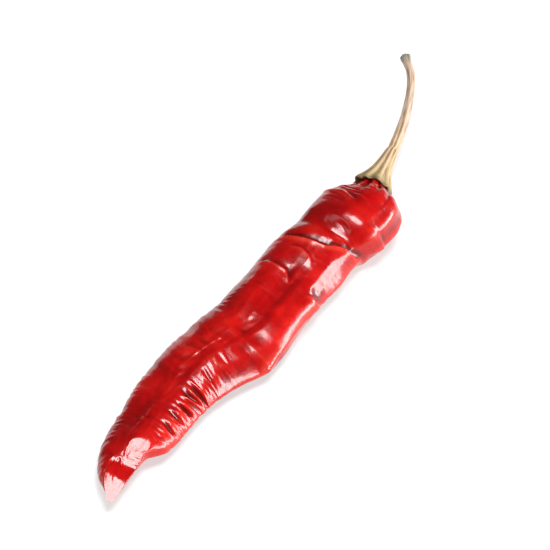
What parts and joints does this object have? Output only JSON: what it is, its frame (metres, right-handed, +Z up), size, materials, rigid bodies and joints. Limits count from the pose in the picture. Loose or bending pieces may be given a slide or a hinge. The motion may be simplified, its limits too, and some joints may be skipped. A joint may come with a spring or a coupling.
{
  "type": "dried chilli pepper",
  "caption": "Dried red chilli pepper lying on its side: a collapsed, creased, crescent-shaped pod with a flared calyx and a thin bent stem.",
  "frame": {"origin": "on the surface that the chilli lies on, under the middle of its overall box", "axes": "+X runs from the pod's tip to the stem, +Y is to the pod's convex side, +Z is up"},
  "size_m": [0.1094, 0.0254, 0.0119],
  "materials": {
    "pod": "glossy, thin, wrinkled dried skin",
    "calyx": "matt, ribbed, olive to straw",
    "stem": "matt, grooved lengthways, straw"
  },
  "bodies": {
    "root": {"pod": "pod", "calyx": "calyx", "stem": "stem"}
  },
  "joints": []
}
